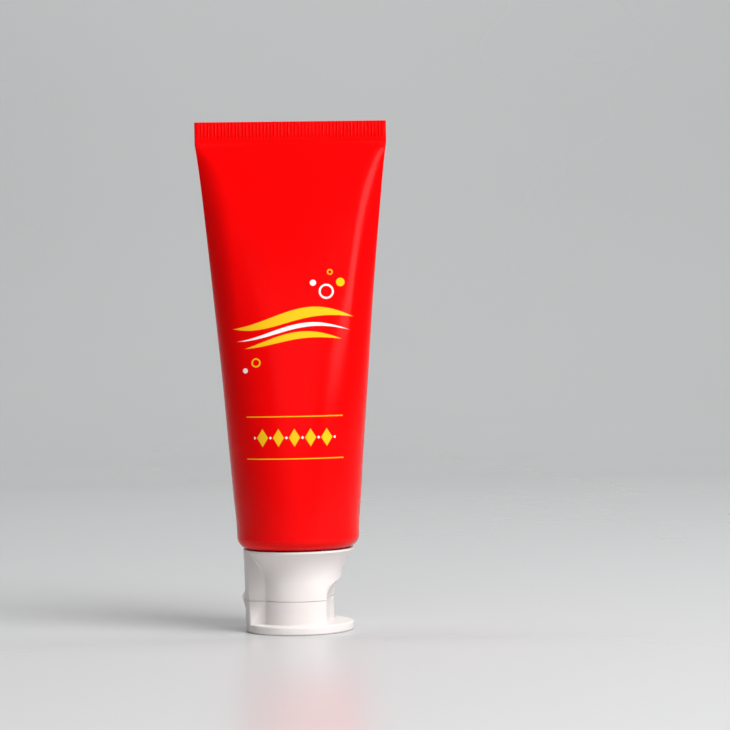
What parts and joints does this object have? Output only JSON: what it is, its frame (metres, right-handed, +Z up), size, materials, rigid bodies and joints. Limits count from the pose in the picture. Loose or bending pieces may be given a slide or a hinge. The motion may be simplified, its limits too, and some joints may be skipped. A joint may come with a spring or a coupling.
{
  "type": "toothpaste tube",
  "caption": "Squeeze tube with a flat ribbed tail, round at the shoulder, standing on a white flared cap with a film-hinged flip lid and nozzle.",
  "frame": {"origin": "on the tube's axis, in the plane of the lid's flat face that the tube stands on", "axes": "+Z up along the tube towards its flat tail, X along the tail's seal, Y through the tube's depth with the front face towards -Y"},
  "size_m": [0.055, 0.035, 0.1459],
  "materials": {
    "red_sleeve": "satin laminate",
    "red_head": "moulded, satin",
    "paste": "soft and opaque",
    "white_cap": "moulded, half gloss"
  },
  "bodies": {
    "tube": {"tube_sleeve": "red_sleeve", "tube_head": "red_head", "paste_fill": "paste"},
    "cap": {"cap_base": "white_cap"},
    "lid": {"flip_lid": "white_cap"}
  },
  "joints": [
    {"name": "cap_turn", "type": "hinge", "parent": "tube", "child": "cap", "pos_m": [0, 0, 0.0165], "axis": [0, 0, -1], "range_deg": [0, 540]},
    {"name": "lid_hinge", "type": "hinge", "parent": "cap", "child": "lid", "pos_m": [-0.01563, 0.00192, 0.0091], "axis": [0.1219, 0.9925, 0], "range_deg": [0, 180]}
  ]
}
